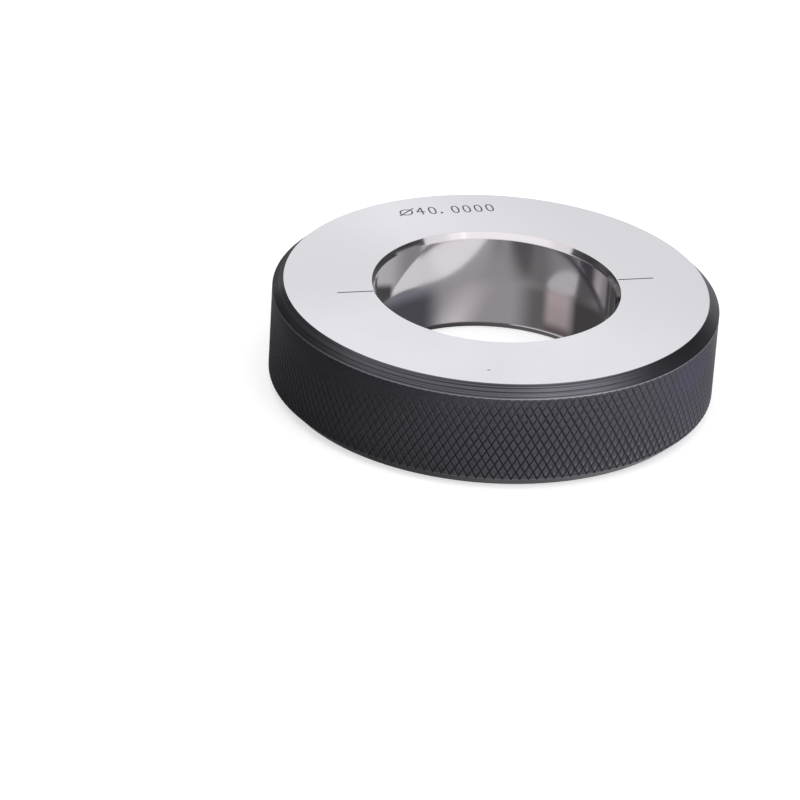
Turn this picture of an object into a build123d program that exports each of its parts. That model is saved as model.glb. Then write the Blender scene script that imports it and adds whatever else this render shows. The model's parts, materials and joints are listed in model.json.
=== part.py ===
"""Plain setting ring gauge: one hardened steel ring with a lapped measuring bore.

The ring lies flat. The origin is the centre of the bore on the lower face, +Z is
the axis of the bore, and the index lines of the measuring diameter lie along X.
Sizes are in millimetres and degrees.
"""

import math
import os

from build123d import *

# The ring
nominal_bore = 40.0  # the lapped diameter that instruments are set to
outer_diameter = 74.0  # over the crests of the knurled grip
thickness = 18.0

# Turned edges
rim_chamfer = 1.8  # 45 degrees, between each face and the grip
lead_in_axial = 1.1  # the lead-in at each end of the bore
lead_in_radial = 0.65

# The knurled grip
knurl_pitch = 1.22  # from groove to groove, square to the grooves
knurl_angle = 30.0  # of the grooves to the axis, both ways
knurl_depth = 0.2

# The index lines on the upper face, one each side of the bore
index_line_end = 26.9  # radius that they are engraved out to
index_line_width = 0.16
index_line_depth = 0.06

bore_radius = nominal_bore / 2
crest_radius = outer_diameter / 2
groove_radius = crest_radius - knurl_depth
face_radius = crest_radius - rim_chamfer

# The knurl is a net of diamonds. Columns are half a diamond wide and run round the
# ring, and rows are half a diamond high and run up it. A whole number of teeth goes
# round the ring, and a whole number of rows fits between the chamfers.
teeth = round(math.pi * outer_diameter * math.cos(math.radians(knurl_angle)) / knurl_pitch)
columns = 2 * teeth
grip_height = thickness - 2 * rim_chamfer
rows = round(grip_height / (math.pi * crest_radius / teeth / math.tan(math.radians(knurl_angle))))
row_height = grip_height / rows


def point(column, radius, height):
    """The point at a column of the net, a distance from the axis and a height."""
    angle = column * 2 * math.pi / columns
    return Vector(radius * math.cos(angle), radius * math.sin(angle), height)


def net_point(column, row):
    """A point of the knurl's net: crests and groove crossings alternate both ways.

    In the first and last row the crossings slip down the chamfer, which cuts them.
    """
    height = rim_chamfer + row * row_height
    if (column + row) % 2 == 0:
        return point(column, crest_radius, height)
    end_slip = {0: -knurl_depth, rows: knurl_depth}.get(row, 0)
    return point(column, groove_radius, height + end_slip)


def facet(*corners):
    """One flat face of the blank."""
    return Face(Wire.make_polygon(corners))


def knurled_blank():
    """The ring before it is bored: a knurled disc with a chamfer at each end.

    Each diamond is a low pyramid of four flanks, two above its crest and two below.
    Each chamfer is a cone in flats one column wide, which lie within 2 micrometres of
    the true cone, so that it meets the flanks in straight edges.
    """
    facets = []
    for row in range(rows + 1):
        for column in range(row % 2, columns, 2):
            crest = net_point(column, row)
            left = net_point(column - 1, row)
            right = net_point(column + 1, row)
            if row < rows:
                above = net_point(column, row + 1)
                facets += [facet(crest, right, above), facet(crest, above, left)]
            if row > 0:
                below = net_point(column, row - 1)
                facets += [facet(crest, left, below), facet(crest, below, right)]
    for row, height in ((0, 0), (rows, thickness)):
        corners = [point(column, face_radius, height) for column in range(columns + 1)]
        edge = [net_point(column, row) for column in range(columns + 1)]
        for column in range(columns):
            after = column + 1
            facets.append(facet(corners[column], corners[after], edge[after], edge[column]))
        facets.append(facet(*corners[:columns]))
    return Solid(Shell(facets))


# The blank is bored and lapped, and its upper face is engraved.
with BuildPart() as ring:
    add(knurled_blank())
    with BuildSketch():
        Circle(bore_radius)
    extrude(amount=thickness, mode=Mode.SUBTRACT)
    bore_wall = ring.faces().filter_by(GeomType.CYLINDER)[0]
    mouths = bore_wall.edges().filter_by(GeomType.CIRCLE)
    chamfer(mouths, lead_in_axial, lead_in_radial, reference=bore_wall)
    with BuildSketch(Plane.XY.offset(thickness)):
        with PolarLocations(index_line_end, 2):
            Rectangle(index_line_end - bore_radius, index_line_width, align=(Align.MAX, Align.CENTER))
    extrude(amount=-index_line_depth, mode=Mode.SUBTRACT)

ring.part.label = "ring"

os.makedirs("parts", exist_ok=True)
export_step(ring.part, "parts/ring.step")
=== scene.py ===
import math

import bpy
import numpy as np
from mathutils import Matrix, Vector, geometry
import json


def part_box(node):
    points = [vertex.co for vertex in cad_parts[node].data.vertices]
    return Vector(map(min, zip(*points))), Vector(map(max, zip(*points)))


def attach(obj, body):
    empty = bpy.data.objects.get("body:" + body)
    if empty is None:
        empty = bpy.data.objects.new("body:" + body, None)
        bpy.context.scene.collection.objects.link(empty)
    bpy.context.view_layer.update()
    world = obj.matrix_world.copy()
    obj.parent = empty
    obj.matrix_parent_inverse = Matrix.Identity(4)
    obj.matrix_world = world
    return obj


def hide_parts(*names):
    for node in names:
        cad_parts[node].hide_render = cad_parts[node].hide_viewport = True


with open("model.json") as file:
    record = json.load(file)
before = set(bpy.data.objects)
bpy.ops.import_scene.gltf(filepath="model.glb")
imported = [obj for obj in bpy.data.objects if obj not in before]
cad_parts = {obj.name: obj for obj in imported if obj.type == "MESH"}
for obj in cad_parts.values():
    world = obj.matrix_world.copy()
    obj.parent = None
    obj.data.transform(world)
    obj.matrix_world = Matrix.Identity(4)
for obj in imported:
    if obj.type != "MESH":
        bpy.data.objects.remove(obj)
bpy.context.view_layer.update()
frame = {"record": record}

# ---------------------------------------------------------------- the knurled grip
# The ring is one piece of hardened steel. Its blackened rim is rolled with a diamond
# knurl: two sets of grooves cross, each 30 degrees off the axis, and the diamonds between
# them have nearly flat tops, raised a little beside the grooves.
MM = 0.001
_, high_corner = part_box("ring")
crest_radius = high_corner.x
thickness = high_corner.z
rim_chamfer = 1.8 * MM
teeth = 165  # diamonds round the ring
rows = 12  # half diamonds up the grip
groove_depth = 0.17 * MM

# Where the net's lines lie between one groove and the next, as shares of the way, and how
# far the surface lies below the crest there, as shares of the groove's depth: first where
# the diamonds are flat-topped, and then what is added where they are pressed to points.
line_places = np.array([0, 0.12, 0.28, 0.5, 0.72, 0.88])
line_drops = np.array([1, 0.1, 0, 0.16, 0, 0.1])
pointed_drops = np.array([0, 0.35, 0.12, -0.16, 0.12, 0.35])
lines = len(line_places)


def turned(radius, angle, height):
    """Points at a distance from the axis, an angle round it and a height."""
    radius, angle, height = np.broadcast_arrays(radius, angle, height)
    return np.stack([radius * np.cos(angle), radius * np.sin(angle), height], -1)


def smooth_step(low, high, value):
    """0 below low, 1 above high, and a smooth S between them."""
    share = np.clip((value - low) / (high - low), 0, 1)
    return share * share * (3 - 2 * share)


def bell(angle, centre, width):
    """1 at an angle round the ring, falling smoothly to 0 at a width either side."""
    away = np.abs((angle - centre + math.pi) % (2 * math.pi) - math.pi)
    return 1 - smooth_step(0, width, away)


# The knurling wheel was shy on one side of the ring and strong on another, and a third
# is worn: the middle of each side, and how far it reaches both ways.
shy_side, shy_reach = math.radians(200), math.radians(65)
strong_side, strong_reach = math.radians(300), math.radians(80)
worn_side, worn_reach = math.radians(338), math.radians(42)

# How deep each set of grooves is pressed, and how much dirt and painted shade its grooves
# hold, as shares: all round the ring, and then what is added on the shy side and on the
# strong side.
set_press = ((0.85, -0.5, 0.25), (0.75, -0.55, 0.45))
set_dirt_and_shade = ((1.0, 0.0, -0.4), (1.0, -0.5, 0.05))

# How much of each set's depth, dirt and painted shade is missing between crossings.
set_broken = (0.0, 0.3)


def knurl_press(angle, rise):
    """How deep each set of grooves is pressed, as a share of the full depth.

    The wheel bit hardest on the strong side. On the shy side the grooves are shallow and
    run out below the upper chamfer, and the second set is the weaker one. Gives the two
    shares, how much dirt and painted shade each set's grooves hold, and how far the
    diamonds come to points.
    """
    shy = bell(angle, shy_side, shy_reach)
    strong = bell(angle, strong_side, strong_reach)
    worn = bell(angle, worn_side, worn_reach)
    run_out = shy * smooth_step(0.4, 0.95, rise) + (1 - strong) * smooth_step(0.78, 1.0, rise)
    run_out += smooth_step(0.95, 1.0, rise)
    kept = (1 - 0.95 * np.minimum(run_out, 1)) * (1 - (0.3 + 0.45 * rise) * worn)
    pressed = [
        (all_round + on_shy * shy + on_strong * strong) * kept
        for all_round, on_shy, on_strong in set_press
    ]
    # Higher up the grip, away from the shy side, the grooves hold less dirt and painted shade.
    less_dirt_and_shade = 0.1 + 0.35 * smooth_step(0.2, 0.9, rise) * (1 - shy)
    dirt_and_shade = [
        (all_round + on_shy * shy + on_strong * strong - less_dirt_and_shade) * kept
        for all_round, on_shy, on_strong in set_dirt_and_shade
    ]
    return pressed, dirt_and_shade, strong * (1.1 - 0.5 * rise)


def bump(value, centre, width):
    """1 where a value is the centre, falling smoothly to 0 at a width either side."""
    return 1 - smooth_step(0, width, np.abs(value - centre))


# A painted highlight lightens the flank below the middle of a pointed diamond: where that
# is between one groove and the next of each set, and how far it reaches both ways.
glint_u, glint_v, glint_reach = 0.36, 0.64, 0.45


def knurl_grip():
    """The grip as a grid: its rows go up the net's lines and its columns round the ring.

    A groove of the first set is a line of whole u and one of the second set a line of
    whole v. A point lies (u + v) / 2 teeth round the ring and u - v rows up it, and its
    depth is the deeper of the two grooves there. Row d, column j is u line j + d and
    v line j. The end rows slip along the chamfers that cut them. Gives each point's
    radius, angle and height, how much dirt and painted shade it holds, and how bright
    its painted glint is.
    """
    def place(line):
        return line // lines + line_places[line % lines]

    up, column = np.indices((rows * lines + 1, teeth * lines))
    u, v = place(column + up), place(column)
    angle = (u + v) * math.pi / teeth
    rise = (u - v) / rows
    pressed, dirt_and_shade, pointed = knurl_press(angle, rise)
    depth, groove_dirt_and_shade = np.zeros(angle.shape), np.zeros(angle.shape)
    # A painted glint: where diamonds are pointed, and lower on the grip, that flank is lightened.
    painted_glint = 0.7 * pointed * (1 - 0.8 * rise)
    painted_glint = painted_glint * bump(u % 1, glint_u, glint_reach) * bump(v % 1, glint_v, glint_reach)
    for line, other, share, dirt_and_shade_share, broken in zip((u, v), (v, u), pressed, dirt_and_shade, set_broken):
        across = np.searchsorted(line_places, line % 1 - 0.01)  # which of the net's lines it is
        dash = 1 - broken * (1 - 0.7 * pointed) * (1 - bump(other % 1, 0.5, 0.5))
        drop = line_drops[across] + pointed * pointed_drops[across]
        depth = np.maximum(depth, groove_depth * drop * share * (0.5 + 0.5 * dash))
        # Each set's groove lines are darkened with dirt and painted shade.
        groove_dirt_and_shade = np.maximum(groove_dirt_and_shade, (across == 0) * dirt_and_shade_share * dash)
    height = rim_chamfer + rise * (thickness - 2 * rim_chamfer)
    height[0] -= depth[0]
    height[-1] += depth[-1]
    return crest_radius - depth, angle, height, groove_dirt_and_shade, painted_glint


# ------------------------------------------------- chamfers, faces and bore, as turned
# The rest of the ring is turned and ground: a 45-degree chamfer at each end of the grip,
# two flat faces, and the bore with its lead-ins. Every corner has a narrow break, where
# the steel shows bright.
bore_mount = frame["record"]["mounts"][0]
bore_radius = bore_mount["dims"]["r_mm"] * MM
lead_in_axial = thickness / 2 - bore_mount["dims"]["length_mm"] * MM / 2
lead_in_radial = 0.65 * MM
edge_break = 0.07 * MM
face_radius = crest_radius - rim_chamfer
mouth_radius = bore_radius + lead_in_radial
chamfer_shares = (0.03, 0.34, 0.67, 0.96)  # how far down a chamfer its rings of points lie

grip_radius, grip_angle, grip_height, grip_dirt_and_shade, grip_painted_glint = knurl_grip()
columns = teeth * lines


def chamfer_rings(edge, face_corner):
    """Rings of points down a chamfer, each a share of the way from the grip to the face."""
    return [edge + (face_corner - edge) * share for share in chamfer_shares]


def bored_rings(angle):
    """The rings of points from the upper face's mouth, down the bore, to the lower one.

    A half profile of radius and depth is turned about the axis, and mirrored for the
    lower end. Its corners are cut by the edge break.
    """
    slope = lead_in_axial / lead_in_radial
    profile = [
        (mouth_radius + edge_break, 0),
        (mouth_radius - edge_break / slope, edge_break),
        (bore_radius + edge_break / slope, lead_in_axial - edge_break),
        (bore_radius, lead_in_axial + edge_break),
    ]
    upper = [turned(radius, angle, thickness - sunk) for radius, sunk in profile]
    lower = [turned(radius, angle, sunk) for radius, sunk in reversed(profile)]
    return upper + lower


# -------------------------------------------------------------- the engraved upper face
# The upper face is ground flat and engraved: an index line each side of the bore, which
# marks the diameter that was measured, and the nominal bore in plain figures.
engraved_depth = 0.05 * MM
index_line_width = 0.30 * MM
index_line_ends = (mouth_radius + edge_break + index_line_width / 2 + 0.03 * MM, 26.75 * MM)
size_figures = "40.0000"
figure_height = 2.5 * MM
figure_width = 1.1 * MM
figure_pitch = 2.015 * MM
figure_stroke = 0.26 * MM
sign_width, sign_height = 2.1 * MM, 2.0 * MM  # the diameter sign's oval
sign_slant = 0.14
sign_drop = 0.28 * MM
slash_start, slash_end = (-1.3 * MM, -1.2 * MM), (1.45 * MM, 1.4 * MM)
mark_centre = (-1.3 * MM, 29.42 * MM)
mark_tilt = math.radians(0.8)


def stroke(path, width):
    """The outline of a stroke: its path carried half a width to each side, ends rounded."""
    path = np.asarray(path, float)
    run = np.gradient(path, axis=0)
    run /= np.linalg.norm(run, axis=1, keepdims=True)
    side = np.stack([-run[:, 1], run[:, 0]], 1) * width / 2
    turn = np.linspace(-math.pi / 2, math.pi / 2, 7)[1:-1, None]
    end_cap = path[-1] + side[-1] * np.sin(turn) + run[-1] * np.cos(turn) * width / 2
    start_cap = path[0] - side[0] * np.sin(turn) - run[0] * np.cos(turn) * width / 2
    return np.concatenate([path - side, end_cap, (path + side)[::-1], start_cap])


def oval(centre, width, height, start, end, steps=17):
    """Points of a rounded oval between two angles in degrees, squarer than an ellipse."""
    angle = np.radians(np.linspace(start, end, steps))
    across = np.sign(np.cos(angle)) * np.abs(np.cos(angle)) ** 0.75
    upward = np.sign(np.sin(angle)) * np.abs(np.sin(angle)) ** 0.9
    return np.stack([centre[0] + across * width / 2, centre[1] + upward * height / 2], 1)


def four(centre, foot, top):
    """The three strokes of a figure four: its post, its slope and its bar."""
    bar = foot + figure_height * 0.38
    post, left, right = centre + 0.18 * MM, centre - 0.72 * MM, centre + 0.6 * MM
    return [[(post, foot), (post, top)], [(post, top), (left, bar)], [(left, bar), (right, bar)]]


def point_strokes(centre, foot):
    """The two short slanting strokes, side by side, of the decimal point."""
    dot = centre - 0.62 * MM
    return [
        [(left, foot + 0.08 * MM), (left + 0.12 * MM, foot + 0.4 * MM)]
        for left in (dot - 0.07 * MM, dot + 0.06 * MM)
    ]


def size_mark():
    """The strokes of the nominal bore: the diameter sign, then figures of even pitch.

    Each is drawn about the mark's centre. The whole mark is then tilted and moved.
    """
    slanted = np.array([[1, sign_slant], [0, 1]])
    sign_x, sign_y = -3.8 * figure_pitch, -sign_drop
    paths = [
        oval((0, 0), sign_width, sign_height, start, start + 190) @ slanted.T + (sign_x, sign_y)
        for start in (60, 240)
    ]
    slash = (slash_start, slash_end)
    paths.append([(sign_x + across, sign_y + upward) for across, upward in slash])
    top, foot = figure_height / 2, -figure_height / 2
    for place, figure in enumerate(size_figures):
        centre = (place - 2.5) * figure_pitch
        if figure == "0":
            for start in (80, 260):
                paths.append(oval((centre, 0), figure_width, figure_height, start, start + 200))
        elif figure == "4":
            paths += four(centre, foot, top)
        else:
            paths += point_strokes(centre, foot)
    cosine, sine = math.cos(mark_tilt), math.sin(mark_tilt)
    tilted = np.array([[cosine, -sine], [sine, cosine]])
    return [stroke(np.asarray(path) @ tilted.T + mark_centre, figure_stroke) for path in paths]


def index_lines():
    """Two straight radial strokes along X, one each side of the bore."""
    start, end = index_line_ends
    return [stroke([(side * start, 0), (side * end, 0)], index_line_width) for side in (-1, 1)]


def engraved_face(outer_ring, inner_ring, first_new):
    """The flat face between two rings of points, with its strokes sunk below it.

    The face is triangulated with every outline as a constraint. Triangles inside a
    stroke are moved down by the engraved depth, and a wall closes each side. Points of
    the outer and the inner ring keep their numbers from 0, and new ones follow from
    first_new. Gives the new points, and the triangles of the level face and of the
    strokes' floors, and the four-cornered walls, as numbers of points.
    """
    strokes = size_mark() + index_lines()
    outlines = [outer_ring[:, :2], inner_ring[:, :2]] + strokes
    corners = np.concatenate(outlines)
    starts = np.cumsum([0] + [len(outline) for outline in outlines])
    loops = [list(range(a, b)) for a, b in zip(starts, starts[1:])]
    in_mm = [Vector(corner) for corner in (corners / MM).tolist()]
    filled = geometry.delaunay_2d_cdt(in_mm, [], loops, 1, 1e-7)
    points, _, triangles, came_from, _, inside = filled
    ring_count = starts[2]
    kept = np.array([1 not in loops_in for loops_in in inside])
    sunk = np.array([max(loops_in) > 1 for loops_in in inside])[kept]
    triangles = np.array(triangles)[kept]

    flat = np.array([tuple(point) for point in points]) * MM
    at_ring = np.array([min(source, default=ring_count) for source in came_from])
    index = np.where(at_ring < ring_count, at_ring, -1)
    fresh = index < 0
    index[fresh] = first_new + np.arange(fresh.sum())
    upper = np.column_stack([flat[fresh], np.full(fresh.sum(), thickness)])

    floor_points = np.unique(triangles[sunk])
    floor_index = np.full(len(flat), -1)
    floor_index[floor_points] = first_new + len(upper) + np.arange(len(floor_points))
    floor_level = np.full(len(floor_points), thickness - engraved_depth)
    lower = np.column_stack([flat[floor_points], floor_level])

    drawn = triangles[sunk]
    sides = np.concatenate([drawn[:, [0, 1]], drawn[:, [1, 2]], drawn[:, [2, 0]]])
    code = sides[:, 0] * len(flat) + sides[:, 1]
    opposite = sides[:, 1] * len(flat) + sides[:, 0]
    rims = sides[~np.isin(opposite, code)]
    walls = np.column_stack([
        floor_index[rims[:, 1]], floor_index[rims[:, 0]], index[rims[:, 0]], index[rims[:, 1]],
    ])
    level = index[triangles[~sunk]]
    floors = floor_index[drawn]
    return np.concatenate([upper, lower]), level, floors, walls


# ------------------------------------------------------------------ the ring's one mesh
# All these surfaces meet at shared points, so that the ring is one closed skin of steel.
# Its finishes are set face by face.
GROUND, KNURLED, TURNED, LAPPED, ENGRAVED = range(5)


def ring_mesh():
    """Joins the rings of points into one closed mesh, and gives each face its finish.

    The outside and the bore are sheets of rings, each with as many points as the net has
    columns. Flat faces join them below and above. Gives the points, the triangles, each
    triangle's finish, and for each point how much dirt and painted shade it holds, and how
    bright it is worn and painted with highlights.
    """
    top_angle, bottom_angle = grip_angle[-1], grip_angle[0]
    grip = turned(grip_radius, grip_angle, grip_height)
    top_corner = turned(face_radius, top_angle, thickness)
    bottom_corner = turned(face_radius, bottom_angle, 0)
    top_face_edge = turned(face_radius - edge_break, top_angle, thickness)
    bottom_face_edge = turned(face_radius - edge_break, bottom_angle, 0)

    outside = [bottom_face_edge, bottom_corner] + chamfer_rings(grip[0], bottom_corner)[::-1]
    outside += list(grip)
    outside += chamfer_rings(grip[-1], top_corner) + [top_corner, top_face_edge]
    inside = bored_rings(bottom_angle)
    sheets = [np.array(outside), np.array(inside)]
    chamfer_bands = 1 + len(chamfer_shares)
    edge_to_grip = [GROUND] + [TURNED] * chamfer_bands
    finishes = [
        edge_to_grip + [KNURLED] * (len(grip) - 1) + edge_to_grip[::-1],
        [LAPPED] * (len(inside) - 1),
    ]

    points, faces, face_finish, offset = [], [], [], 0
    for sheet, finish in zip(sheets, finishes):
        ring_index = offset + np.arange(sheet.shape[0] * columns).reshape(-1, columns)
        after = np.roll(ring_index, -1, axis=1)
        below, above = ring_index[:-1], ring_index[1:]
        below_after, above_after = after[:-1], after[1:]
        first = np.stack([below, below_after, above], -1)
        second = np.stack([above, below_after, above_after], -1)
        faces.append(np.stack([first, second], 2).reshape(-1, 3))
        face_finish.append(np.repeat(finish, columns * 2))
        points.append(sheet.reshape(-1, 3))
        offset += len(points[-1])

    bottom_outer = np.arange(columns)
    bottom_inner = offset - columns + np.arange(columns)
    ring_pairs = np.stack([
        np.stack([bottom_outer, bottom_inner, np.roll(bottom_outer, -1)], 1),
        np.stack([np.roll(bottom_outer, -1), bottom_inner, np.roll(bottom_inner, -1)], 1),
    ], 1).reshape(-1, 3)
    faces.append(ring_pairs)
    face_finish.append(np.full(len(ring_pairs), GROUND))

    top_outer = (len(outside) - 1) * columns + np.arange(columns)
    top_inner = len(outside) * columns + np.arange(columns)
    new_points, level, floors, walls = engraved_face(outside[-1], inside[0], offset)
    number_in_mesh = np.arange(offset + len(new_points))
    number_in_mesh[:2 * columns] = np.concatenate([top_outer, top_inner])
    walls = number_in_mesh[walls]
    walls = np.stack([walls[:, [0, 1, 2]], walls[:, [0, 2, 3]]], 1).reshape(-1, 3)
    faces += [number_in_mesh[level], floors, walls]
    face_finish += [np.full(len(level), GROUND), np.full(len(floors) + len(walls), ENGRAVED)]
    points.append(new_points)

    groove = np.zeros(offset + len(new_points))
    wear_and_glint = np.zeros(len(groove))
    grip_start = len(edge_to_grip) * columns
    grip_end = grip_start + grip_dirt_and_shade.size
    groove[grip_start:grip_end] = grip_dirt_and_shade.ravel()
    wear_and_glint[grip_start:grip_end] = grip_painted_glint.ravel()
    # The rows where the grip meets the chamfers, and the foot of the lower chamfer, are
    # lightened: bare worn edges, painted as highlight lines too.
    wear_and_glint[grip_start:grip_start + columns] = 0.5 * (1 - grip_dirt_and_shade[0])
    wear_and_glint[grip_end - columns:grip_end] = 1
    wear_and_glint[columns:2 * columns] = 1
    shades = {"groove": groove, "wear_and_glint": wear_and_glint}
    return np.concatenate(points), np.concatenate(faces), np.concatenate(face_finish), shades


smooth_below = math.radians(14)  # faces that meet at less than this look like one


def new_piece(name, points, triangles, finish, shades):
    """A mesh object from arrays of points and triangles, smooth where faces run on."""
    mesh = bpy.data.meshes.new(name)
    mesh.vertices.add(len(points))
    mesh.vertices.foreach_set("co", points.ravel())
    mesh.loops.add(triangles.size)
    mesh.loops.foreach_set("vertex_index", triangles.ravel())
    mesh.polygons.add(len(triangles))
    mesh.polygons.foreach_set("loop_start", np.arange(0, triangles.size, 3))
    mesh.polygons.foreach_set("material_index", finish)
    for shade, values in shades.items():
        mesh.attributes.new(shade, "FLOAT", "POINT").data.foreach_set("value", values)
    mesh.update(calc_edges=True)
    mesh.validate()
    mesh.shade_smooth()
    mesh.set_sharp_from_angle(angle=smooth_below)
    piece = bpy.data.objects.new(name, mesh)
    bpy.context.scene.collection.objects.link(piece)
    return piece


ring = new_piece("ring_body", *ring_mesh())


# ------------------------------------------------------------------------ the finishes
# The faces are ground, the bore is lapped to a mirror, the knurled grip and the turned
# chamfers are black-oxidised, and the engraving is filled dark.
class Value:
    """An output socket. An expression of values adds the Math nodes that work it out."""

    def __init__(self, tree, socket=None):
        self.tree = tree
        self.socket = socket

    def node(self, kind, settings, sockets, output=0):
        """Adds a node of a kind: its settings first, then its sockets' values or links.

        Gives one of its outputs, by name or number.
        """
        made = self.tree.nodes.new("ShaderNode" + kind)
        for name, setting in settings.items():
            setattr(made, name, setting)
        for name, source in sockets.items():
            if isinstance(source, Value):
                self.tree.links.new(source.socket, made.inputs[name])
            else:
                made.inputs[name].default_value = source
        return Value(self.tree, made.outputs[output])

    def math(self, operation, *others):
        """A Math node's answer for this value and others."""
        return self.node("Math", {"operation": operation}, dict(enumerate((self, *others))))

    def __add__(self, other):
        return self.math("ADD", other)

    def __sub__(self, other):
        return self.math("SUBTRACT", other)

    def __rsub__(self, other):
        return self * -1 + other

    def __mul__(self, other):
        return self.math("MULTIPLY", other)

    __radd__ = __add__
    __rmul__ = __mul__

    def between(self, low, high):
        """0 below low, 1 above high, smooth between."""
        settings = {"interpolation_type": "SMOOTHSTEP"}
        return self.node("MapRange", settings, {"Value": self, "From Min": low, "From Max": high})

    def part(self, axis):
        """One of the three numbers of a vector: X, Y or Z."""
        return self.node("SeparateXYZ", {}, {0: self}, axis)


def mixed(share, first, second):
    """A colour a share of the way from the first to the second."""
    # A Mix node has several sockets of one name, so the colour ones go by number.
    colours = {"Factor": share, 6: first, 7: second}
    return share.node("Mix", {"data_type": "RGBA"}, colours, 2)


def noise(place, scale, detail=3.0, stretch=(1, 1, 1)):
    """A soft random pattern of values round a half, stretched along the axes."""
    spread = place.node("Mapping", {}, {"Vector": place, "Scale": stretch})
    return place.node("TexNoise", {}, {"Vector": spread, "Scale": scale, "Detail": detail})


def bumped(height, distance, strength=1.0):
    """A normal for a height pattern that is a distance deep."""
    return height.node("Bump", {}, {"Height": height, "Distance": distance, "Strength": strength})


def patch(parts, centre, factors, edge):
    """1 inside a rounded patch about a centre, falling smoothly to 0 across its edge.

    The distance to the centre along each axis is multiplied by that axis's factor, and
    the sum of the squares passes the edge's first number where the fall starts.
    """
    away = [(part - middle) * factor for part, middle, factor in zip(parts, centre, factors)]
    return 1 - sum(distance * distance for distance in away).between(*edge)


def new_finish(name):
    """A new finish of the ring: gives places on it, and a way to set its shader's sockets."""
    material = bpy.data.materials.new(name)
    material.use_nodes = True
    tree = material.node_tree
    shader = tree.nodes["Principled BSDF"]
    place = Value(tree).node("TexCoord", {}, {}, "Object")

    def finish(**sockets):
        for socket_name, source in sockets.items():
            target = shader.inputs[socket_name.replace("_", " ")]
            if isinstance(source, Value):
                tree.links.new(source.socket, target)
            else:
                target.default_value = source
        ring.data.materials.append(material)

    return place, finish


def ground_steel():
    """Pale steel with the fine straight lines of a grinding wheel, softly clouded.

    It has painted shade towards the right and in a patch at the left, and has one small pit.
    """
    place, finish = new_finish("ground_steel")
    x, y = place.part("X") * (1 / MM), place.part("Y") * (1 / MM)
    pale, palest = (0.738, 0.731, 0.775, 1), (0.778, 0.770, 0.817, 1)
    right_shade_tone, left_shade_tone = (0.667, 0.660, 0.70, 1), (0.67, 0.663, 0.703, 1)
    pit_tone = (0.06, 0.06, 0.065, 1)
    wheel_lines = noise(place, 900, 4, (0.04, 1, 1))
    clouds = noise(place, 60, 3)
    # A patch of painted shade at the left.
    left_shade = patch((x, y), (-31, 11), (0.04, 0.04), (0, 1))
    pit = patch((x, y), (-8.3, -29.6), (0.6, 1), (0.008, 0.06))
    colour = mixed(clouds.between(0.3, 0.7), pale, palest)
    # Painted shade darkens the face towards the right.
    colour = mixed((x + 0.4 * y).between(-6, 34), colour, right_shade_tone)
    colour = mixed(0.75 * left_shade, colour, left_shade_tone)
    finish(
        Base_Color=mixed(0.7 * pit, colour, pit_tone),
        Metallic=1.0,
        Roughness=0.30 + 0.08 * (wheel_lines - 0.5),
        Normal=bumped(wheel_lines, 0.002 * MM, 0.6),
    )


def blackened(name, dark, light, relief_of, relief_range, relief_depth):
    """Steel blackened by oxide, dark in the hollows of its relief and lighter on top.

    The oxide has a violet bloom in places and in one patch. Grooves hold dirt and painted
    shade. Worn edges are bare and painted as highlight lines, and painted glints lighten
    the knurl's pointed diamonds.
    """
    place, finish = new_finish(name)
    groove = place.node("Attribute", {"attribute_name": "groove"}, {}, "Fac")
    wear_and_glint = place.node("Attribute", {"attribute_name": "wear_and_glint"}, {}, "Fac")
    violet_tone = (light[0], light[1] * 0.95, light[2] * 1.25, 1)
    dirt_and_shade_tone, bare_and_glint_tone = (0.012, 0.012, 0.014, 1), (0.38, 0.38, 0.39, 1)
    relief = relief_of(place)
    blotches = noise(place, 90, 4)
    in_mm = [place.part(axis) * (1 / MM) for axis in "XYZ"]
    bloom = patch(in_mm, (27, -25, 13), (0.16, 0.16, 0.22), (0.1, 1.0))
    violet = 0.3 * noise(place, 45, 2).between(0.5, 0.75) + 0.45 * bloom
    colour = mixed(relief.between(*relief_range), dark, light)
    colour = mixed(violet, colour, violet_tone)
    # Grooves are darkened with dirt and painted shade.
    colour = mixed(0.88 * groove.between(0.0, 0.7), colour, dirt_and_shade_tone)
    # Worn edges and painted glints are lightened towards bare steel: partly bare steel, partly
    # painted highlight.
    finish(
        Base_Color=mixed(wear_and_glint.between(0.1, 1.0), colour, bare_and_glint_tone),
        Metallic=1.0,
        Specular_Tint=(0.8, 0.8, 0.82, 1),
        Roughness=0.34 + 0.2 * (blotches - 0.5),
        Normal=bumped(relief, relief_depth, 0.6),
    )


def knurled_oxide():
    """The knurled grip, with the fine grain that the knurling wheel leaves."""
    def grain(place):
        return noise(place, 2500, 2)

    dark, light = (0.072, 0.070, 0.083, 1), (0.101, 0.098, 0.116, 1)
    blackened("knurled_oxide", dark, light, grain, (0.25, 0.7), 0.004 * MM)


def turned_oxide():
    """The chamfers, ringed by the turning tool: painted shade at the left, smooth at the right.
    """
    def tool_rings(place):
        smooth_side = place.part("X").between(2 * MM, 19 * MM)
        # Painted shade: the middle tone falls towards the left, which darkens the chamfers'
        # colour there.
        middle = 0.44 + 0.03 * place.part("X").between(-26 * MM, -3 * MM)
        rings = noise(place, 8500, 1, (0.002, 0.002, 1)) - 0.47
        return middle + rings * (1 - 0.9 * smooth_side)

    dark, light = (0.044, 0.043, 0.050, 1), (0.114, 0.112, 0.127, 1)
    blackened("turned_oxide", dark, light, tool_rings, (0.38, 0.56), 0.012 * MM)


def lapped_steel():
    """The bore, lapped nearly to a mirror, with faint marks round it."""
    place, finish = new_finish("lapped_steel")
    marks = noise(place, 1500, 3, (0.02, 0.02, 1))
    finish(
        Base_Color=(0.705, 0.667, 0.70, 1),
        Metallic=1.0,
        Roughness=0.10 + 0.05 * (marks - 0.5),
        Normal=bumped(marks, 0.001 * MM, 0.3),
    )


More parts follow.
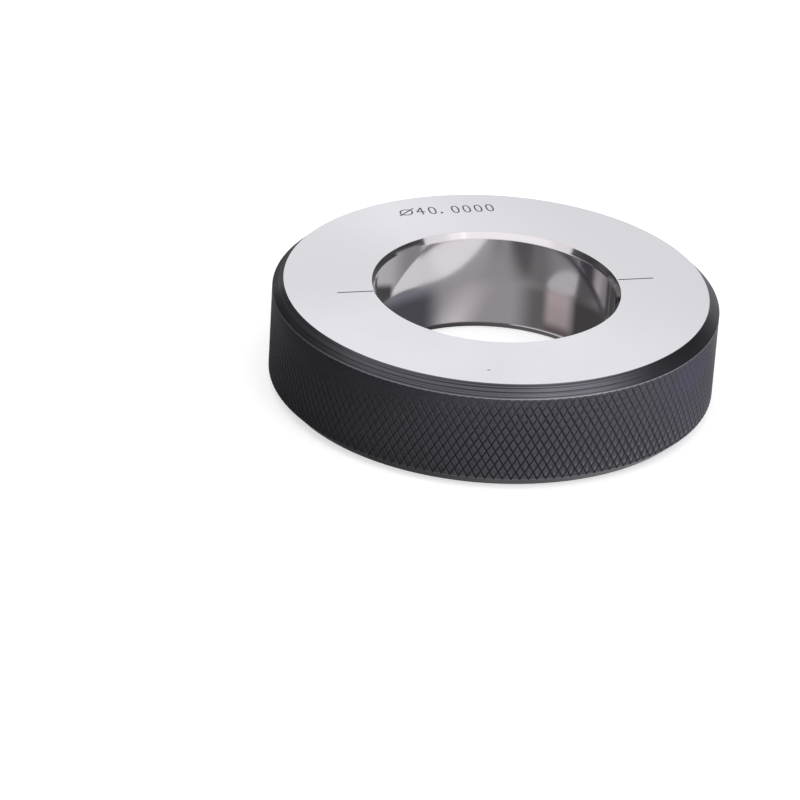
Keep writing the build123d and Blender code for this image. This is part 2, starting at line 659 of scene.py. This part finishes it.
def engraved_steel():
    """The dull dark floor of an engraved stroke."""
    place, finish = new_finish("engraved_steel")
    dark, light = (0.05, 0.05, 0.055, 1), (0.12, 0.12, 0.13, 1)
    burn = noise(place, 3000, 2)
    finish(Base_Color=mixed(burn.between(0.3, 0.7), dark, light), Metallic=0.4, Roughness=0.6)


# These are called in the order of the finishes' numbers.
ground_steel()
knurled_oxide()
turned_oxide()
lapped_steel()
engraved_steel()

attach(ring, "root")
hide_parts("ring")


# ---------------------------------------------------------------------------- the camera
# A long lens looks down on the upper face from in front and a little to the left. The
# face's centre lies off the picture's middle, and the ring stands a little askew in it.
picture_side = 800
lens_in_pixels = 4300.0
face_centre_in_picture = (496.6, 285.3)
camera_distance = 0.710
camera_elevation = math.radians(26.02)
camera_heading = math.radians(-15.2)
camera_roll = math.radians(4.18)


def camera_pose():
    """The camera's place and axes, from the ray through the face's centre.

    The ray comes down on the face at the elevation. The picture's sideways axis is level
    but for the roll about that ray.
    """
    ray = np.array([*(np.array(face_centre_in_picture) - picture_side / 2) / lens_in_pixels, 1.0])
    ray /= np.linalg.norm(ray)
    level = np.cross([0.0, 1.0, 0.0], ray)
    level /= np.linalg.norm(level)
    down = np.cross(ray, level)
    rolled = math.cos(camera_roll) * level + math.sin(camera_roll) * down
    dropped = -math.sin(camera_roll) * level + math.cos(camera_roll) * down
    rise, run = math.sin(camera_elevation), math.cos(camera_elevation)
    ring_axes = np.stack([rolled, run * ray - rise * dropped, -run * dropped - rise * ray], 1)
    heading = np.array(Matrix.Rotation(camera_heading, 3, "Z"))
    camera_axes = heading @ ring_axes.T
    place = (0, 0, thickness) - camera_axes @ ray * camera_distance
    right, downward, forward = camera_axes.T
    return Matrix.Translation(place) @ Matrix(np.stack([right, -downward, -forward], 1)).to_4x4()


camera = bpy.data.cameras.new("camera")
camera.sensor_width = 36.0
camera.lens = lens_in_pixels / picture_side * camera.sensor_width
camera.clip_start = 0.01
camera_object = bpy.data.objects.new("camera", camera)
camera_object.matrix_world = camera_pose()
bpy.context.scene.collection.objects.link(camera_object)
bpy.context.scene.camera = camera_object
bpy.context.scene.view_settings.view_transform = "Standard"

# --------------------------------------------------------------------- floor and backdrop
# The ring lies on a pale floor that runs out to a white background. Bright steel shows
# what surrounds it, so flags and cards out of the camera's sight stand beside the ring
# and inside its bore, glowing with painted reflections, and for mirrored rays the floor
# glows with painted tones, a painted shadow of the ring among them.
def facing(x, y, z):
    """A place by its distance to the camera's right, away from the camera, and up."""
    return Matrix.Rotation(camera_heading, 3, "Z") @ Vector((x, y, z))


def stage_mesh(name, corners, faces, mirrored_only=False):
    """A panel of the stage. One that is only mirrored is seen by no other rays."""
    mesh = bpy.data.meshes.new(name)
    mesh.from_pydata(corners, [], faces)
    panel = bpy.data.objects.new(name, mesh)
    bpy.context.scene.collection.objects.link(panel)
    if mirrored_only:
        panel.visible_camera = panel.visible_diffuse = panel.visible_shadow = False
    return panel


def stage_material(panel):
    """An empty material for a panel: its tree, and places in millimetres as facing() has them."""
    material = bpy.data.materials.new(panel.name)
    material.use_nodes = True
    panel.data.materials.append(material)
    tree = material.node_tree
    place = Value(tree).node("TexCoord", {}, {}, "Object")
    turn = {"Vector": place, "Rotation": (0, 0, -camera_heading), "Scale": (1 / MM,) * 3}
    return tree, place.node("Mapping", {}, turn)


def glowing(tree, colour):
    """A shader that gives off a colour and mirrors nothing."""
    return colour.node("Emission", {}, {"Color": colour})


def leave(tree, shader):
    """Makes a shader the surface of a material."""
    tree.links.new(shader.socket, tree.nodes["Material Output"].inputs["Surface"])


def grey_of(level):
    """A neutral colour of a level."""
    return level.node("CombineXYZ", {}, {0: level, 1: level, 2: level})


def toward(level, share, target):
    """A level moved a share of the way to a target."""
    return level + share * (target - level)


def bump_at(x, centre, width):
    """1 where x is the centre, falling smoothly to 0 at a width either side."""
    return 1 - (x - centre).math("ABSOLUTE").between(0, width)


def rays_seen(tree):
    """1 for the camera's rays, for mirrored ones and for those through glass, else 0."""
    kinds = ("Is Camera Ray", "Is Glossy Ray", "Is Transmission Ray")
    return [Value(tree).node("LightPath", {}, {}, kind) for kind in kinds]


def floor_outside(x, y, away):
    """The mirrored floor round the ring, from places in millimetres and their square.

    It is a painted reflection, darker to the left, with a painted shadow beside the ring
    that is darkest under it.
    """
    # The ring's painted shadow on the floor, seen only in mirrors.
    painted_shadow_beside_ring = 1 - away.between(36 ** 2, 50 ** 2)
    painted_shadow_under_ring = 1 - away.between(34 ** 2, 36 ** 2)
    level = 0.17 + 0.87 * x.between(-70, 60)
    level = level * (1 - painted_shadow_beside_ring * (0.62 - 0.5 * x.between(-20, 5)))
    level = level * (1 - 0.4 * x.between(22, 42) * y.between(-24, 8))
    return level * (1 - 0.8 * painted_shadow_under_ring)


def floor_in_bore(x, y):
    """The floor in the bore as a painted reflection: dim, one bright pool, bright at the right.
    """
    slant = y - 1.4 * x
    level = 0.36 - 0.24 * (1 - x.between(-7.2, -1.5)) + 0.05 * x.between(1.5, 4.5)
    level = level + 0.07 * slant.between(5.5, 11) + 0.10 * slant.between(13, 26)
    level = level - 0.06 * bump_at(x, 0, 4) * (1 - y.between(-13, -5))
    level = level * (1 - 0.6 * y.between(11.5, 13.5))
    pool = patch((x, y), (-10.5, 8.8), (0.185, 0.19), (0.85, 1.05))
    level = toward(level, pool * (1 - y.between(11.7, 12.4)), 0.56)
    bright_side = (x + 0.0125 * (y + 1) * (y + 1)).between(7.4, 8.3)
    return toward(level, bright_side, 0.97 - 0.14 * y.between(2, 9))


def floor_mirrored(place):
    """The floor's painted level in mirrored rays, from places in millimetres."""
    x, y = place.part("X"), place.part("Y")
    away = x * x + y * y
    in_bore = 1 - away.between(19.9 ** 2, 20.1 ** 2)
    return toward(floor_outside(x, y, away), in_bore, floor_in_bore(x, y))


half_floor = 4.0
floor_sides = ((-1, -1), (1, -1), (1, 1), (-1, 1))
floor_corners = [facing(x * half_floor, y * half_floor, 0) for x, y in floor_sides]
floor = stage_mesh("floor", floor_corners, [(0, 1, 2, 3)])
floor_tree, floor_place = stage_material(floor)
floor_shader = floor_tree.nodes["Principled BSDF"]
floor_shader.inputs["Base Color"].default_value = (0.86, 0.86, 0.87, 1)
floor_shader.inputs["Roughness"].default_value = 0.9
floor_shader.inputs["Specular IOR Level"].default_value = 0.0
floor_shader.inputs["Emission Color"].default_value = (1, 1, 1, 1)
floor_glow = 0.5
camera_sees, mirror_sees, through_sees = rays_seen(floor_tree)
glow_seen = floor_glow * (camera_sees + through_sees)
floor_tree.links.new(glow_seen.socket, floor_shader.inputs["Emission Strength"])
seen_plain = Value(floor_tree, floor_shader.outputs[0])
seen_mirrored = glowing(floor_tree, grey_of(floor_mirrored(floor_place)))
floor_looks = {0: mirror_sees, 1: seen_plain, 2: seen_mirrored}
leave(floor_tree, seen_plain.node("MixShader", {}, floor_looks))


def scaled(colour, level):
    """A colour, all its parts multiplied by a level."""
    return level.node("VectorMath", {"operation": "SCALE"}, {0: colour, "Scale": level})


def curved_card(name, radius, ends, heights, fades, tones):
    """An upright card along the bore, between two angles and two heights in millimetres.

    It glows with painted reflections for the bore, and shows only from the wall's side. It
    fades out over the first number of fades in degrees at its ends, and over the second
    and third in millimetres at foot and head.
    """
    (start, end), (foot, head) = ends, heights
    end_fade, foot_fade, head_fade = fades
    angle, height = np.meshgrid(np.linspace(start, end, 61), np.linspace(foot, head, 21))
    solid = smooth_step(0, end_fade, angle - start) * smooth_step(0, end_fade, end - angle)
    solid *= smooth_step(0, foot_fade, height - foot) * smooth_step(0, head_fade, head - height)
    corners = turned(radius, np.radians(angle) + camera_heading, height) * MM
    corners[..., 2] = height * MM
    index = np.arange(angle.size).reshape(angle.shape)
    faces = np.stack([index[:-1, :-1], index[:-1, 1:], index[1:, 1:], index[1:, :-1]], -1)
    faces = faces.reshape(-1, 4)
    card = stage_mesh(name, corners.reshape(-1, 3).tolist(), faces.tolist(), mirrored_only=True)
    card.data.attributes.new("solid", "FLOAT", "POINT").data.foreach_set("value", solid.ravel())
    tree, place = stage_material(card)
    glow = glowing(tree, tones(place))
    clear = glow.node("BsdfTransparent", {}, {})
    solid_share = place.node("Attribute", {"attribute_name": "solid"}, {}, "Fac")
    from_behind = place.node("NewGeometry", {}, {}, "Backfacing")
    shown = solid_share * (1 - from_behind)
    leave(tree, glow.node("MixShader", {}, {0: shown, 1: clear, 2: glow}))


def column_tones(place):
    """Upright columns of light.

    A bluish dark one is at the left, a pale one leans, and a warm one is right of the middle.
    """
    x, rise = place.part("X"), place.part("Z")
    bluish, plain, warm_tone = (0.90, 0.93, 1.07, 1), (1.01, 0.99, 1.0, 1), (1.07, 0.95, 0.94)
    left = 0.10 + 0.2 * rise.between(5.0, 8.5)
    centre = 0.38
    right = 0.15 - 0.08 * x.between(10.8, 11.8)
    level = left + (centre - left) * x.between(-10.5, -7) + (right - centre) * x.between(2, 6)
    level = level + bump_at(x - 0.35 * rise, -6.0, 4.0) * (0.31 - 0.03 * rise)
    tint = mixed(x.between(-11, -7), bluish, plain)
    warm = x.between(6.6, 8.0) * (1 - x.between(10.0, 11.7))
    warm_level = (0.39 + 0.08 * rise.between(3, 8)) * (0.3 + 0.7 * rise.between(0.6, 3))
    return mixed(warm, scaled(tint, level), scaled(warm_tone, warm_level))


def left_tones(place):
    """Pale grey over a bright slope, with a dark corner below at the left."""
    y, rise = place.part("Y"), place.part("Z")
    slope = 1 - (rise - 1.04 * y).between(-0.9, -0.3)
    corner = (1 - (rise + 0.45 * y).between(15.2, 16.8)) * (1 - y.between(9.4, 10.9))
    level = 0.31 + 0.22 * (1 - y.between(9.0, 13.5))
    return grey_of(toward(toward(level, slope, 0.83), corner, 0.08))


def right_tones(place):
    """Dark, a little paler at the top, with upright streaks."""
    y, rise = place.part("Y"), place.part("Z")
    streaks = bump_at(y, 5.6, 0.5) + bump_at(y, 7.4, 0.4)
    return grey_of(0.07 + 0.10 * rise.between(15.2, 17) + 0.07 * streaks)


def lead_in_tones(place):
    """Dark, a little paler in the middle."""
    return grey_of(0.07 + 0.06 * bump_at(place.part("Y"), 1, 6))


for card in (
    ("columns_card", 18.5, (28, 150), (0.1, 9.5), (5, 0.1, 2.5), column_tones),
    ("left_card", 19.6, (127, 176), (9.0, 17.8), (6, 0.6, 0.1), left_tones),
    ("right_card", 19.6, (4, 28), (9.0, 17.8), (4, 0.6, 0.1), right_tones),
    ("lead_in_card", 19.8, (145, 200), (17.05, 18.02), (3, 0.05, 0.02), lead_in_tones),
):
    curved_card(*card)

# Two dark flags are mirrored at the ring's sides. They are paler towards their far ends
# and their heads.
flag_distance = 0.30
flag_foot = 0.01
flag_head = 0.25
for name, side, near_end, far_end, far_tone, paling in (
    ("flag_left", -1, -0.08, 0.37, 0.12, (10, 220)),
    ("flag_right", 1, -0.064, 0.36, 0.14, (20, 280)),
):
    x = side * flag_distance
    near_to_far = ((near_end, flag_foot), (far_end, flag_foot))
    far_to_near = ((far_end, flag_head), (near_end, flag_head))
    flag_corners = [facing(x, y, z) for y, z in near_to_far + far_to_near]
    flag = stage_mesh(name, flag_corners, [(0, 1, 2, 3)], mirrored_only=True)
    flag_tree, flag_place = stage_material(flag)
    far, up = flag_place.part("Y").between(*paling), flag_place.part("Z")
    level = 0.05 + far_tone * far * up.between(60, 110) + 0.05 * up.between(110, 180)
    leave(flag_tree, glowing(flag_tree, grey_of(level)))

# A bright card in front lights the far side of the bore's mouth.
front_distance = 0.8
front_half_width = 1.4
front_foot, front_head = 0.2, 0.8
front_level = 1.2
front_edges = (
    (front_half_width, front_foot),
    (-front_half_width, front_foot),
    (-front_half_width, front_head),
    (front_half_width, front_head),
)
front_corners = [facing(x, -front_distance, z) for x, z in front_edges]
front_card = stage_mesh("front_card", front_corners, [(0, 1, 2, 3)])
front_card.visible_camera = False
front_tree, _ = stage_material(front_card)
leave(front_tree, Value(front_tree).node("Emission", {}, {"Strength": front_level}))

# The world is plain white where it is seen, also in mirrors, and lights a little less.
diffuse_level = 0.75
world = bpy.data.worlds.new("studio")
bpy.context.scene.world = world
world.use_nodes = True
world_tree = world.node_tree
background = world_tree.nodes["Background"]
background.inputs["Color"].default_value = (1, 1, 1, 1)
camera_sees, mirror_sees, through_sees = rays_seen(world_tree)
seen_white = camera_sees.math("MAXIMUM", mirror_sees).math("MAXIMUM", through_sees)
world_strength = diffuse_level + (1 - diffuse_level) * seen_white
world_tree.links.new(world_strength.socket, background.inputs["Strength"])


def soft_lamp(name, place, width, height, radiance):
    """A soft box at a place, turned to face the ring, of a given radiance."""
    lamp = bpy.data.lights.new(name, "AREA")
    lamp.shape = "RECTANGLE"
    lamp.size = width
    lamp.size_y = height
    lamp.energy = radiance * math.pi * width * height
    lamp_object = bpy.data.objects.new(name, lamp)
    turn = (-place).to_track_quat("-Z", "Y").to_matrix().to_4x4()
    lamp_object.matrix_world = Matrix.Translation(place) @ turn
    bpy.context.scene.collection.objects.link(lamp_object)


soft_lamp("key", facing(0.45, -0.35, 0.70), 0.45, 0.45, 1.5)
